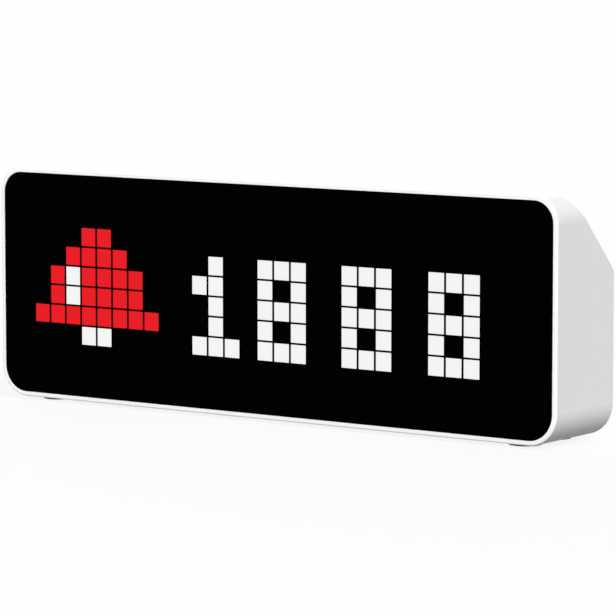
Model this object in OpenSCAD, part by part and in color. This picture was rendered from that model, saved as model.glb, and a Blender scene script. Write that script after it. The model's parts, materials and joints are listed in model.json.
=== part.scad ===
// Pixel clock: a white one-piece housing with a sloped back, a smoked front lens,
// a matrix of square light cells behind it, three push keys and a rechargeable battery.
// Frame: X to the right, Y to the back, Z up; the origin is on the table under the middle of the body.
// Depths (b) are measured back from the front rim, heights (h) up from the underside of the housing.

/* [Display] */
// Number of light cells across the display
columns = 31; // [30:1:36]
// Number of light cells up the display
rows = 8; // [8:1:10]
// Distance between the middles of two neighbouring cells
cell_pitch = 6; // [5.6:0.05:6.5]
// Thickness of the light grid's wall between two cells
cell_wall = 0.6; // [0.4:0.05:0.8]
// Black border between the outermost cells and the rim, at the sides
border_side = 5.8; // [4:0.1:12]
// Black border between the outermost cells and the rim, at the top and bottom
border_top = 9.7; // [9.5:0.05:14]

/* [Front] */
// Width of the white rim around the lens
rim_w = 1.4; // [1.2:0.1:2]
// Thickness of the smoked lens
lens_t = 1.5; // [1:0.1:2.5]
// How far the lens lies behind the rim
lens_inset = 0.15; // [0.1:0.05:0.4]
// Gap round the lens in its pocket
lens_gap = 0.05; // [0.05:0.05:0.2]
// Thickness of the tape frame and of the diffuser sheet that it surrounds
tape_t = 0.4; // [0.2:0.1:0.8]
// Depth of the light grid
grid_t = 5; // [4:0.1:7]

/* [Housing] */
// Wall thickness of the housing
wall_t = 2.2; // [1.8:0.1:2.6]
// Radius of the two upper corners, seen from the front
top_corner_r = 7.8; // [6.5:0.1:10]
// Radius of the two lower corners, seen from the front
low_corner_r = 9.3; // [6.5:0.1:11]
// Rounding of the rim's outer edge
rim_edge_r = 0.6; // [0.4:0.1:1]
// Rounding of the edge round the rear wall
rear_edge_r = 1.2; // [0.6:0.1:1.8]
// Depth of the level top before the back slope starts
top_flat = 7.5; // [6.5:0.1:9]
// Rounding between the level top and the slope
slope_top_r = 4; // [2:0.5:6]
// Rounding between the slope and the rear wall
slope_rear_r = 9; // [5:0.5:12]
// Room between the slope and the edges of the grid and of the matrix board
slope_gap = 0.6; // [0.4:0.1:1]
// Side gap between the housing and the light grid
fit_gap = 0.15; // [0.1:0.05:0.3]

/* [Screws] */
// Radius of the grid screws' shanks
grid_screw_r = 1.05; // [0.8:0.05:1.2]
// Length of the grid screws under the head
grid_screw_l = 8; // [7:0.5:8.5]
// Radius of the grid screws' heads
grid_head_r = 2.3; // [1.8:0.1:2.5]
// Distance of the outer grid screws from the grid's ends
grid_screw_inset = 11; // [8:0.5:14]
// Radius of the board screws' shanks
board_screw_r = 0.8; // [0.6:0.05:1]
// Length of the board screws under the head
board_screw_l = 5; // [4:0.5:5.5]
// Radius of the board screws' heads
board_head_r = 1.9; // [1.5:0.1:2.2]
// Gap between a screw's shank and its pilot hole
pilot_gap = 0.05; // [0.02:0.01:0.1]

/* [Boards] */
// Thickness of the matrix board and of the main board
board_t = 1.6; // [1.2:0.1:2]
// Side of a square light package
led_side = 3.5; // [2.5:0.1:4.2]
// Height of a light package
led_t = 1.9; // [1:0.1:2.5]
// Width of the main board
main_w = 124; // [110:1:140]
// Height of the main board
main_h = 21.5; // [20.5:0.5:23]
// Thickness of the pin header's base on the matrix board
link_base_t = 2.5; // [2:0.1:3.5]
// Height of the socket on the main board that takes the pin header
link_socket_t = 8.5; // [7:0.1:9.5]
// Distance of the pin header from the middle, to the left
link_left = 30; // [20:1:45]
// Distance of the radio module's middle from the main board's right end
radio_inset = 28; // [20:1:36]
// Distance of the buzzer's middle from the main board's right end
buzzer_inset = 24; // [18:1:34]
// Radius of the buzzer
buzzer_r = 6; // [4.5:0.5:7]
// Height of the buzzer
buzzer_t = 5.5; // [4:0.1:6.5]

/* [Charge port] */
// Length of the plug opening in the metal shell
plug_l = 8.34; // [8:0.02:9]
// Width of the plug opening in the metal shell
plug_w = 2.56; // [2.4:0.02:3]
// Sheet thickness of the metal shell
shell_t = 0.3; // [0.2:0.05:0.4]
// Depth of the plug opening
plug_d = 6.6; // [5:0.1:7]
// Gap round the metal shell in the rear wall
port_gap = 0.2; // [0.1:0.05:0.4]
// Depth of the shallow recess round the port
port_recess = 0.9; // [0.5:0.1:1.2]
// Width of the recess floor round the port's slot
port_land = 1.7; // [1.2:0.1:2.5]

/* [Battery] */
// Diameter of a battery cell
battery_d = 18.4; // [17:0.1:20]
// Length of a battery cell
battery_l = 65.2; // [60:0.1:68]
// Gap between the two cells, where a screw post stands
battery_split = 8; // [7.6:0.2:12]
// Room between the matrix board and the cells, filled by foam pads
battery_front_gap = 1.35; // [1:0.05:2]
// Room between the cells and the rear wall
battery_rear_gap = 0.4; // [0.2:0.1:1]
// Room between the cells and the housing's floor
battery_floor_gap = 0.8; // [0.4:0.1:1.5]
// Gap between a cell and its saddle ribs
saddle_gap = 0.1; // [0.05:0.05:0.3]
// Diameter of the battery leads
lead_d = 1.4; // [1:0.1:1.6]

/* [Keys] */
// Length of a key
key_l = 13; // [10:0.5:16]
// Width of a key
key_w = 6; // [5:0.1:7.5]
// How far a key stands out of the slope
key_proud = 0.8; // [0.5:0.1:1.5]
// Rounding of a key's upper edge
key_edge_r = 0.5; // [0.2:0.1:0.5]
// Travel of a key
key_travel = 0.4; // [0.2:0.05:0.5]
// Distance between the middles of two keys
key_spacing = 26; // [22:0.5:32]
// Room between the keys' flanges and the screw posts above them
key_clear = 1; // [0.5:0.1:2]
// Gap round a key in the slope
key_gap = 0.2; // [0.15:0.05:0.4]
// Height of a switch's body
switch_t = 3.5; // [3:0.1:4]

/* [Feet] */
// Diameter of a foot
foot_d = 10; // [7:0.5:11]
// How far the feet stand out of the underside
foot_proud = 1; // [0.8:0.1:2]
// Depth of the pockets that hold the feet
foot_sunk = 0.6; // [0.4:0.1:1]
// Distance of a foot's middle from the housing's side
foot_side = 15.5; // [14:0.5:22]
// Distance of the front feet's middles from the rim
foot_front = 8.5; // [7:0.5:10]
// Distance of the rear feet's middles from the rear wall
foot_rear = 7; // [6.5:0.5:9]

/* [Hidden] */
$fn = 64;
slant = sqrt(0.5);
// How far a cut reaches past the faces that it opens
over = 1;
// The display sets the size of the front
matrix_w = columns * cell_pitch;
matrix_h = rows * cell_pitch;
face_w = matrix_w + 2 * border_side;
face_h = matrix_h + 2 * border_top;
body_w = face_w + 2 * rim_w;
body_h = face_h + 2 * rim_w;
cavity_w = body_w - 2 * wall_t;
cavity_h = body_h - 2 * wall_t;
// The layers from the rim to the rear wall set the depth
tape_b = lens_inset + lens_t;
grid_b = tape_b + tape_t;
matrix_b = grid_b + grid_t;
bay_b = matrix_b + board_t;
rear_b = bay_b + battery_front_gap + battery_d + battery_rear_gap;
body_d = rear_b + wall_t;
front_y = -body_d / 2;
base_z = foot_proud;
middle_z = base_z + body_h / 2;
// The slope falls at 45 degrees, so depth and height along it add up to one number
slope_sum = body_h + top_flat;
function slope_inside(b) = slope_sum - wall_t / slant - b;
function behind_slope(b) = 2 * (slope_inside(b) - slope_gap - body_h / 2);
// Light grid, tape and matrix board
grid_w = cavity_w - 2 * fit_gap;
grid_h = min(cavity_h - 2 * fit_gap, behind_slope(matrix_b));
grid_edge = wall_t + fit_gap;
board_edge = 0.5;
matrix_board_w = grid_w - 2 * board_edge;
matrix_board_h = min(grid_h, behind_slope(bay_b));
tape_edge = 0.5;
window_edge = 1;
sheet_gap = 0.3;
sheet_edge = window_edge - sheet_gap;
cell_open = cell_pitch - cell_wall;
grid_screw_x = grid_w / 2 - grid_screw_inset;
grid_screw_z = (matrix_h + matrix_board_h) / 4;
grid_head_t = 1.6;
head_sunk = 0.4;
head_gap = 0.3;
shank_gap = 0.4;
grid_screw_b = grid_b + head_sunk + grid_head_t;
post_r = 3.2;
pilot_end = 0.5;
locator_r = 1.2;
locator_l = 1.4;
locator_gap = 0.1;
locator_x = matrix_w / 4;
sensor_side = 2;
sensor_t = 0.8;
sensor_x = locator_x / 2;
sensor_hole_r = 1.8;
// Battery cells and what holds them
battery_r = battery_d / 2;
battery_b = bay_b + battery_front_gap + battery_r;
battery_h = wall_t + battery_floor_gap + battery_r;
battery_top = battery_h + battery_r;
battery_x = battery_split / 2 + battery_l / 2;
saddle_t = 2;
saddle_x = battery_l / 3;
saddle_low = 2.5;
pad_l = 30;
pad_h = 10;
pad_wrap = 1.6;
cap_r = 3;
cap_l = 1.2;
crimp_b = 2.6;
crimp_l = 1.4;
crimp_t = 0.5;
shoulder = 0.8;
tab_t = 0.3;
tab_w = 6;
tab_low = 1.4;
tab_inset = 1.6;
tab_rise = battery_r - tab_inset;
tab_lip = 2.2;
// Main board and what stands on it
main_b = bay_b + link_base_t + link_socket_t;
main_rear_b = main_b + board_t;
wire_room = 2.6;
main_low = battery_top + wire_room;
main_high = main_low + main_h;
main_middle = (main_low + main_high) / 2;
main_hole_inset = 4;
main_hole_x = main_w / 2 - main_hole_inset;
board_post_r = 2.8;
board_head_t = 1.3;
link_pins = 4;
pin_pitch = 2.54;
pin_side = 0.64;
pin_room = 0.9;
pin_l = 6;
pin_well = 6.5;
radio_x = main_w / 2 - radio_inset;
radio_l = 25.5;
radio_h = 18;
radio_t = 0.8;
can_l = 17.6;
can_h = 15.6;
can_t = 2.4;
can_edge = 1;
buzzer_x = main_w / 2 - buzzer_inset;
port_up = 8;
port_h = main_low + port_up;
port_floor_b = body_d - port_recess;
shell_l = plug_l + 2 * shell_t;
shell_w = plug_w + 2 * shell_t;
slot_l = shell_l + 2 * port_gap;
slot_w = shell_w + 2 * port_gap;
recess_l = slot_l + 2 * port_land;
recess_w = slot_w + 2 * port_land;
tongue_side = 0.8;
tongue_l = plug_l - 2 * tongue_side;
tongue_w = 0.7;
tongue_room = 0.8;
vent_r = 0.7;
vent_ring_r = 3.2;
vent_count = 6;
buzzer_hole_r = 1;
// Chips behind the main board: charge controller, choke and memory, in a row to the left of the port
chip_boxes = [[5, 1, 5], [6, 3, 6], [5, 1.6, 4]];
chip_left = 16;
chip_step = 11;
thermometer_box = [3, 1, 3];
thermometer_inset = 14;
thermometer_up = 2;
// Connector of the battery leads, with one way for each lead
plug_box = [8, 4.8, 7.6];
plug_up = 1;
plug_low = main_low + plug_up;
lead_pitch = 2;
lead_b = main_b - plug_box[1] / 2;
lead_bend_r = 2;
lead_straight = 0.4;
lead_h = plug_low - lead_straight - lead_bend_r;
lead_end_x = battery_split / 2 + battery_l + tab_t + tab_lip / 2;
tab_top = battery_h + tab_rise;
// Keys, measured out from the slope's outer face, and downhill from its upper edge
flange_edge = 1.2;
post_foot = body_h / 2 + grid_screw_z - post_r;
post_down = (body_h - wall_t * slant - post_foot) / slant;
key_down = post_down + key_clear + flange_edge + key_w / 2;
key_b = top_flat + key_down * slant;
key_h = body_h - key_down * slant;
flange_gap = 0.1;
flange_t = 1;
nib_r = 1.5;
nib_l = 0.8;
flange_top = -wall_t - flange_gap;
flange_low = flange_top - flange_t;
plunger_top = flange_low - nib_l;
plunger_r = 1.75;
plunger_gap = 0.05;
plunger_show = 1;
plunger_in = 1.1;
plunger_spare = 0.1;
plunger_room = key_travel + plunger_spare;
switch_top = plunger_top - plunger_show;
switch_low = switch_top - switch_t;
switch_side = 6;
key_board_t = 1.2;
key_board_h = 9;
key_screw_out = 5.5;
key_screw_x = key_spacing + key_l / 2 + key_screw_out;
key_board_end = 4;
key_board_w = 2 * (key_screw_x + key_board_end);
key_board_low = switch_low - key_board_t;
key_post_r = 2.4;
key_pilot_l = board_screw_l - key_board_t + pilot_end;
// Gap round a foot in its pocket
foot_gap = 0.05;
// Flat ribbon from the key board to the main board
ribbon_w = 8;
ribbon_t = 0.3;
ribbon_x = -16;
ribbon_box = [10, 2, 3.2];
ribbon_b = main_b - ribbon_box[1] / 2;
ribbon_gap = 0.02;
ribbon_z = key_board_low - ribbon_gap - ribbon_t / 2;
ribbon_start = 1;
// The ribbon leaves the slope where it stands over its connector, and drops straight into it
ribbon_knee = (ribbon_b - key_b) / slant - ribbon_z;
ribbon_knee_h = key_h - slant * (ribbon_knee - ribbon_z);
ribbon_drop = 1;
ribbon_low = ribbon_knee_h - ribbon_drop - ribbon_box[2];

// Rectangle about its middle, with the body's round corners set in by edge
module round_rect(w, h, edge) {
    top = top_corner_r - edge;
    low = low_corner_r - edge;
    translate([-w / 2, low - h / 2]) square([w, h - top - low]);
    translate([top - w / 2, 0]) square([w - 2 * top, h / 2]);
    translate([low - w / 2, -h / 2]) square([w - 2 * low, h / 2]);
    for (s = [-1, 1]) {
        translate([s * (w / 2 - top), h / 2 - top]) circle(top);
        translate([s * (w / 2 - low), low - h / 2]) circle(low);
    }
}

// Slot with round ends, l long over the ends and w wide
module pill(l, w) {
    square([l - w, w], center = true);
    for (s = [-1, 1]) translate([s * (l - w) / 2, 0]) circle(w / 2);
}

// Extrudes a shape drawn on the front view, from depth b backwards by t
module slab(b, t) {
    translate([0, front_y + b + t, middle_z]) rotate([90, 0, 0]) linear_extrude(t) children();
}

// Extrudes a side view, drawn in depth and height, by l to both sides of x
module side_slab(x, l) {
    translate([x - l / 2, front_y, base_z]) rotate([90, 0, 90]) linear_extrude(l) children();
}

// Box about x, from depth b and height h
module block(x, b, h, size) {
    translate([x - size[0] / 2, front_y + b, base_z + h]) cube(size);
}

// Round bar along the depth, from b1 to b2
module post(x, h, b1, b2, r) {
    translate([x, front_y + b2, base_z + h]) rotate([90, 0, 0]) cylinder(r = r, h = b2 - b1);
}

// Round bar along the width, from x1 to x2
module bar(x1, x2, b, h, r) {
    translate([x1, front_y + b, base_z + h]) rotate([0, 90, 0]) cylinder(r = r, h = x2 - x1);
}

// Places a piece on the slope at x, with its z axis out of the outer face and y downhill
module on_slope(x = 0) {
    translate([x, front_y + key_b, base_z + key_h]) rotate([-45, 0, 0]) children();
}

// Pan-head screw with a cross recess, its head's underside at z = 0 and its shank along -z
module pan_screw(head_r, head_t, shank_r, shank_l) {
    cross_w = head_r * 0.3;
    cross_l = head_r * 1.2;
    difference() {
        union() {
            cylinder(r = head_r, h = head_t);
            translate([0, 0, -shank_l]) cylinder(r = shank_r, h = shank_l);
        }
        for (turn = [0, 90])
            rotate([0, 0, turn]) translate([-cross_l / 2, -cross_w / 2, head_t / 2])
                cube([cross_l, cross_w, head_t]);
    }
}

// Half outline of the block: d deep from the rear wall at y = 0, r from the axis to the outside
module edge_outline(r, d) {
    translate([0, rear_edge_r]) square([r, d - rear_edge_r - rim_edge_r]);
    square([r - rear_edge_r, d]);
    translate([0, d / 2]) square([r - rim_edge_r, d / 2]);
    translate([r - rear_edge_r, rear_edge_r]) circle(rear_edge_r);
    translate([r - rim_edge_r, d - rim_edge_r]) circle(rim_edge_r);
}

// Block with four round corners along the depth and soft front and rear edges
module soft_block() {
    for (s = [-1, 1]) {
        translate([s * (body_w / 2 - top_corner_r), -front_y, base_z + body_h - top_corner_r])
            rotate([90, 0, 0]) rotate_extrude() edge_outline(top_corner_r, body_d);
        translate([s * (body_w / 2 - low_corner_r), -front_y, base_z + low_corner_r])
            rotate([90, 0, 0]) rotate_extrude() edge_outline(low_corner_r, body_d);
    }
    translate([0, -front_y, middle_z]) rotate([90, 0, 90]) {
        linear_extrude(body_w - 2 * top_corner_r, center = true)
            rotate([0, 0, 90]) edge_outline(body_h / 2, body_d);
        linear_extrude(body_w - 2 * low_corner_r, center = true)
            mirror([0, 1]) rotate([0, 0, 90]) edge_outline(body_h / 2, body_d);
    }
    translate([0, -front_y, base_z + low_corner_r]) linear_extrude(body_h - top_corner_r - low_corner_r) {
        mirror([0, 1]) edge_outline(body_w / 2, body_d);
        mirror([1, 0]) mirror([0, 1]) edge_outline(body_w / 2, body_d);
    }
}

// Side view of the body with its sloped back, set in by t all round
module slope_outline(t) {
    rear = body_d - t;
    top = body_h - t;
    sum = slope_sum - t / slant;
    r1 = slope_rear_r - t;
    r2 = slope_top_r;
    t1 = r1 * tan(22.5);
    t2 = r2 * tan(22.5);
    polygon([[-wall_t, -wall_t], [rear, -wall_t], [rear, sum - rear - t1],
        [rear - t1 * slant, sum - rear + t1 * slant], [sum - top + t2 * slant, top - t2 * slant],
        [sum - top - t2, top], [-wall_t, top]]);
    translate([rear - r1, sum - rear - t1]) circle(r1);
    translate([sum - top - t2, top - r2]) circle(r2);
}

// Posts, saddle ribs and other forms inside the housing, before the walls trim them
module inner_forms() {
    for (x = [-grid_screw_x, 0, grid_screw_x], s = [-1, 1])
        post(x, body_h / 2 + s * grid_screw_z, bay_b, body_d, post_r);
    for (x = [-main_hole_x, main_hole_x], h = [main_low + main_hole_inset, main_high - main_hole_inset])
        post(x, h, main_rear_b, body_d, board_post_r);
    for (x = [-key_screw_x, key_screw_x])
        on_slope(x) translate([0, 0, switch_low]) cylinder(r = key_post_r, h = -switch_low);
    difference() {
        for (s = [-1, 1], k = [-1, 1])
            block(s * battery_x + k * saddle_x, bay_b + battery_front_gap, 0,
                [saddle_t, rear_b - bay_b, battery_h - saddle_low]);
        for (s = [-1, 1])
            bar(s * battery_x - battery_l, s * battery_x + battery_l, battery_b, battery_h,
                battery_r + saddle_gap);
    }
}

// Room inside the housing, behind the front opening
module cavity() {
    difference() {
        intersection() {
            slab(-wall_t, rear_b + wall_t) round_rect(cavity_w, cavity_h, wall_t);
            side_slab(0, body_w) slope_outline(wall_t);
        }
        inner_forms();
    }
}

// Pilot holes in the posts
module pilot_holes() {
    for (x = [-grid_screw_x, 0, grid_screw_x], s = [-1, 1])
        post(x, body_h / 2 + s * grid_screw_z, bay_b, grid_screw_b + grid_screw_l + pilot_end,
            grid_screw_r + pilot_gap);
    for (x = [-main_hole_x, main_hole_x], h = [main_low + main_hole_inset, main_high - main_hole_inset])
        post(x, h, main_rear_b, main_b + board_screw_l + pilot_end, board_screw_r + pilot_gap);
    for (x = [-key_screw_x, key_screw_x])
        on_slope(x) translate([0, 0, switch_low]) cylinder(r = board_screw_r + pilot_gap, h = key_pilot_l);
}

// Openings through the walls for the keys, the charge port, the buzzer and the feet
module wall_openings() {
    for (k = [-1, 0, 1])
        on_slope(k * key_spacing) translate([0, 0, -2 * wall_t])
            linear_extrude(4 * wall_t) pill(key_l + 2 * key_gap, key_w + 2 * key_gap);
    translate([0, 0, port_h - body_h / 2]) {
        slab(rear_b - over, wall_t + 2 * over) pill(slot_l, slot_w);
        slab(port_floor_b, port_recess + over) pill(recess_l, recess_w);
    }
    post(buzzer_x, main_middle, rear_b - over, body_d + over, vent_r);
    for (i = [0 : vent_count - 1])
        post(buzzer_x + vent_ring_r * cos(i * 360 / vent_count),
            main_middle + vent_ring_r * sin(i * 360 / vent_count), rear_b - over, body_d + over, vent_r);
    for (sx = [-1, 1], b = [foot_front, body_d - foot_rear])
        translate([sx * (body_w / 2 - foot_side), front_y + b, base_z - over])
            cylinder(r = foot_d / 2 + foot_gap, h = foot_sunk + over);
}

module housing() {
    color("white") difference() {
        intersection() {
            soft_block();
            side_slab(0, body_w + 2 * wall_t) slope_outline(0);
        }
        cavity();
        slab(-wall_t, tape_b + wall_t) round_rect(face_w, face_h, rim_w);
        pilot_holes();
        wall_openings();
    }
}

module front_lens() {
    color([0.02, 0.02, 0.02]) slab(lens_inset, lens_t)
        round_rect(face_w - 2 * lens_gap, face_h - 2 * lens_gap, rim_w + lens_gap);
}

module lens_tape() {
    color([0.1, 0.1, 0.1]) slab(tape_b, tape_t) difference() {
        round_rect(grid_w - 2 * tape_edge, grid_h - 2 * tape_edge, grid_edge + tape_edge);
        square([matrix_w + 2 * window_edge, matrix_h + 2 * window_edge], center = true);
        translate([sensor_x, grid_screw_z]) circle(sensor_hole_r);
    }
}

module diffuser_sheet() {
    color([0.9, 0.9, 0.88]) slab(tape_b, tape_t)
        square([matrix_w + 2 * sheet_edge, matrix_h + 2 * sheet_edge], center = true);
}

// Plate with one square cell for each light, screw holes with sunk heads and two locating pins
module light_grid() {
    color([0.12, 0.12, 0.12]) {
        difference() {
            slab(grid_b, grid_t) difference() {
                round_rect(grid_w, grid_h, grid_edge);
                for (i = [0 : columns - 1], j = [0 : rows - 1])
                    translate([(i - (columns - 1) / 2) * cell_pitch, (j - (rows - 1) / 2) * cell_pitch])
                        square(cell_open, center = true);
                translate([sensor_x, grid_screw_z]) circle(sensor_hole_r);
            }
            for (x = [-grid_screw_x, 0, grid_screw_x], s = [-1, 1]) {
                h = body_h / 2 + s * grid_screw_z;
                post(x, h, grid_b - over, matrix_b + over, grid_screw_r + shank_gap);
                post(x, h, grid_b - over, grid_screw_b, grid_head_r + head_gap);
            }
        }
        for (s = [-1, 1])
            post(s * locator_x, body_h / 2 - grid_screw_z, matrix_b, matrix_b + locator_l, locator_r);
    }
}

module matrix_board() {
    color([0.08, 0.1, 0.09]) slab(matrix_b, board_t) difference() {
        round_rect(matrix_board_w, matrix_board_h, grid_edge + board_edge);
        for (x = [-grid_screw_x, 0, grid_screw_x], s = [-1, 1])
            translate([x, s * grid_screw_z]) circle(grid_screw_r + shank_gap);
        for (s = [-1, 1]) translate([s * locator_x, -grid_screw_z]) circle(locator_r + locator_gap);
    }
}

module light_packages() {
    color([0.95, 0.95, 0.9]) slab(matrix_b - led_t, led_t)
        for (i = [0 : columns - 1], j = [0 : rows - 1])
            translate([(i - (columns - 1) / 2) * cell_pitch, (j - (rows - 1) / 2) * cell_pitch])
                square(led_side, center = true);
}

module light_sensor() {
    color([0.3, 0.3, 0.32]) slab(matrix_b - sensor_t, sensor_t)
        translate([sensor_x, grid_screw_z]) square(sensor_side, center = true);
}

module grid_screws() {
    color("silver") for (x = [-grid_screw_x, 0, grid_screw_x], s = [-1, 1])
        translate([x, front_y + grid_screw_b, middle_z + s * grid_screw_z]) rotate([90, 0, 0])
            pan_screw(grid_head_r, grid_head_t, grid_screw_r, grid_screw_l);
}

// Middle of pin i of the link between the boards
function pin_x(i) = -link_left + (i - (link_pins - 1) / 2) * pin_pitch;

module link_header() {
    color([0.05, 0.05, 0.05]) {
        block(-link_left, bay_b, main_middle - pin_pitch / 2,
            [link_pins * pin_pitch, link_base_t, pin_pitch]);
        for (i = [0 : link_pins - 1])
            block(pin_x(i), bay_b + link_base_t, main_middle - pin_side / 2, [pin_side, pin_l, pin_side]);
    }
}

module link_socket() {
    color([0.05, 0.05, 0.05]) difference() {
        block(-link_left, main_b - link_socket_t, main_middle - pin_pitch / 2,
            [link_pins * pin_pitch, link_socket_t, pin_pitch]);
        for (i = [0 : link_pins - 1])
            block(pin_x(i), main_b - link_socket_t - over, main_middle - pin_room / 2,
                [pin_room, pin_well + over, pin_room]);
    }
}

module main_board() {
    color([0.05, 0.3, 0.15]) difference() {
        block(0, main_b, main_low, [main_w, board_t, main_h]);
        for (x = [-main_hole_x, main_hole_x], h = [main_low + main_hole_inset, main_high - main_hole_inset])
            post(x, h, main_b - over, main_rear_b + over, board_screw_r + shank_gap);
    }
}

module main_board_screws() {
    color("silver")
        for (x = [-main_hole_x, main_hole_x], h = [main_low + main_hole_inset, main_high - main_hole_inset])
            translate([x, front_y + main_b, base_z + h]) rotate([90, 0, 0])
                pan_screw(board_head_r, board_head_t, board_screw_r, board_screw_l);
}

// Small board with a metal shield can, its aerial end left bare
module radio_module() {
    color([0.7, 0.7, 0.72]) {
        block(radio_x, main_b - radio_t, main_middle - radio_h / 2, [radio_l, radio_t, radio_h]);
        block(radio_x - (radio_l - can_l) / 2 + can_edge, main_b - radio_t - can_t, main_middle - can_h / 2,
            [can_l, can_t, can_h]);
    }
}

// Metal shell of the charge port, standing on the main board and open at the rear wall
module charge_socket() {
    color("silver") translate([0, 0, port_h - body_h / 2]) difference() {
        slab(main_rear_b, port_floor_b - main_rear_b) pill(shell_l, shell_w);
        slab(port_floor_b - plug_d, plug_d + over) pill(plug_l, plug_w);
    }
}

module charge_tongue() {
    color([0.05, 0.05, 0.05]) translate([0, 0, port_h - body_h / 2])
        slab(port_floor_b - plug_d, plug_d - tongue_room) square([tongue_l, tongue_w], center = true);
}

module buzzer() {
    color([0.04, 0.04, 0.04]) difference() {
        post(buzzer_x, main_middle, main_rear_b, main_rear_b + buzzer_t, buzzer_r);
        post(buzzer_x, main_middle, main_rear_b + buzzer_t / 2, main_rear_b + buzzer_t + over,
            buzzer_hole_r);
    }
}

module temperature_sensor() {
    color([0.15, 0.15, 0.16])
        block(thermometer_inset - main_w / 2, main_rear_b, main_low + thermometer_up, thermometer_box);
}

module board_chips() {
    color([0.1, 0.1, 0.11]) for (i = [0 : len(chip_boxes) - 1])
        block(-chip_left - i * chip_step, main_rear_b, main_middle - chip_boxes[i][2] / 2, chip_boxes[i]);
}

// Cell lying along +x from its flat end at x = 0 to its raised contact at x = battery_l
module battery_cell() {
    can_end = battery_l - cap_l;
    rotate([0, 90, 0]) rotate_extrude() polygon([[0, 0], [battery_r - shoulder, 0], [battery_r, shoulder],
        [battery_r, can_end - crimp_b - crimp_l], [battery_r - crimp_t, can_end - crimp_b - crimp_l / 2],
        [battery_r, can_end - crimp_b], [battery_r, can_end - shoulder], [battery_r - shoulder, can_end],
        [cap_r, can_end], [cap_r, battery_l], [0, battery_l]]);
}

module battery_cell_left() {
    color([0.2, 0.45, 0.7])
        translate([-battery_split / 2 - battery_l, front_y + battery_b, base_z + battery_h]) battery_cell();
}

module battery_cell_right() {
    color([0.2, 0.45, 0.7]) mirror([1, 0, 0]) battery_cell_left();
}

// Strip bridging the two raised contacts, and an angled strip on each flat end
module battery_tabs() {
    half = battery_split / 2;
    end = half + battery_l;
    translate([0, battery_b + front_y, base_z]) rotate([90, 0, 0]) {
        color("silver") linear_extrude(tab_w, center = true) {
            for (s = [-1, 1]) {
                translate([s * (half - tab_t / 2) - tab_t / 2, battery_h - tab_low])
                    square([tab_t, tab_top - battery_h + tab_low]);
                translate([s * (end + tab_t / 2) - tab_t / 2, battery_h - tab_low])
                    square([tab_t, tab_top - battery_h + tab_low]);
                translate([s * (end + tab_lip / 2) - tab_lip / 2, tab_top - tab_t]) square([tab_lip, tab_t]);
            }
            translate([-half, tab_top - tab_t]) square([2 * half, tab_t]);
        }
    }
}

// Lead from an end strip along the cell and up into the connector, for the side s
module end_lead(s) {
    r = lead_d / 2;
    mirror([s < 0 ? 1 : 0, 0, 0]) {
        translate([lead_end_x, front_y + lead_b, base_z + tab_top])
            cylinder(r = r, h = lead_h - lead_bend_r - tab_top);
        translate([lead_end_x - lead_bend_r, front_y + lead_b, base_z + lead_h - lead_bend_r])
            rotate([90, 0, 0]) rotate_extrude(angle = 90) translate([lead_bend_r, 0]) circle(r);
        bar(lead_pitch + lead_bend_r, lead_end_x - lead_bend_r, lead_b, lead_h, r);
        translate([lead_pitch + lead_bend_r, front_y + lead_b, base_z + lead_h + lead_bend_r])
            rotate([90, 0, 0]) rotate_extrude(angle = 90, start = 180) translate([lead_bend_r, 0]) circle(r);
        translate([lead_pitch, front_y + lead_b, base_z + lead_h + lead_bend_r])
            cylinder(r = r, h = plug_low - lead_h - lead_bend_r);
    }
}

module battery_leads() {
    color([0.15, 0.15, 0.15]) for (s = [-1, 1]) end_lead(s);
    color([0.7, 0.1, 0.1]) translate([0, front_y + lead_b, base_z + tab_top])
        cylinder(d = lead_d, h = plug_low - tab_top);
}

module battery_connector() {
    color([0.9, 0.88, 0.8]) block(0, main_b - plug_box[1], plug_low, plug_box);
}

// Foam between the matrix board and each cell
module battery_pads() {
    color([0.25, 0.25, 0.27]) difference() {
        for (s = [-1, 1])
            block(s * battery_x, bay_b, battery_h - pad_h / 2, [pad_l, battery_front_gap + pad_wrap, pad_h]);
        bar(-body_w / 2, body_w / 2, battery_b, battery_h, battery_r);
    }
}

module key_board() {
    color([0.05, 0.3, 0.15]) on_slope() translate([0, 0, key_board_low])
        linear_extrude(key_board_t) difference() {
            square([key_board_w, key_board_h], center = true);
            for (s = [-1, 1]) translate([s * key_screw_x, 0]) circle(board_screw_r + shank_gap);
        }
}

module key_board_screws() {
    color("silver") for (s = [-1, 1])
        on_slope(s * key_screw_x) translate([0, 0, key_board_low]) mirror([0, 0, 1])
            pan_screw(board_head_r, board_head_t, board_screw_r, board_screw_l);
}

// Depth and height of a point on the slope's own plane: v downhill from the keys, z out of the outer face
function slope_point(v, z) = [key_b + slant * (v + z), key_h - slant * (v - z)];

// Straight run of ribbon from p to q
module ribbon_run(p, q) {
    d = q - p;
    translate(p) rotate([0, 0, atan2(d[1], d[0])]) translate([0, -ribbon_t / 2]) square([norm(d), ribbon_t]);
}

module key_ribbon() {
    start = slope_point(ribbon_start, ribbon_z);
    knee = slope_point(ribbon_knee, ribbon_z);
    color([0.85, 0.8, 0.7]) side_slab(ribbon_x, ribbon_w) {
        ribbon_run(start, knee);
        translate(knee) circle(ribbon_t / 2);
        ribbon_run(knee, [ribbon_b, ribbon_low + ribbon_box[2]]);
    }
}

module ribbon_connector() {
    color([0.9, 0.88, 0.8]) block(ribbon_x, main_b - ribbon_box[1], ribbon_low, ribbon_box);
}

module switch_bodies() {
    color([0.1, 0.1, 0.1]) for (k = [-1, 0, 1])
        on_slope(k * key_spacing) difference() {
            translate([-switch_side / 2, -switch_side / 2, switch_low])
                cube([switch_side, switch_side, switch_t]);
            translate([0, 0, switch_top - plunger_in - plunger_room])
                cylinder(r = plunger_r + plunger_gap, h = plunger_in + plunger_room + over);
        }
}

module switch_plunger(k) {
    color([0.8, 0.8, 0.8]) on_slope(k * key_spacing) translate([0, 0, switch_top - plunger_in])
        cylinder(r = plunger_r, h = plunger_show + plunger_in);
}

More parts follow.
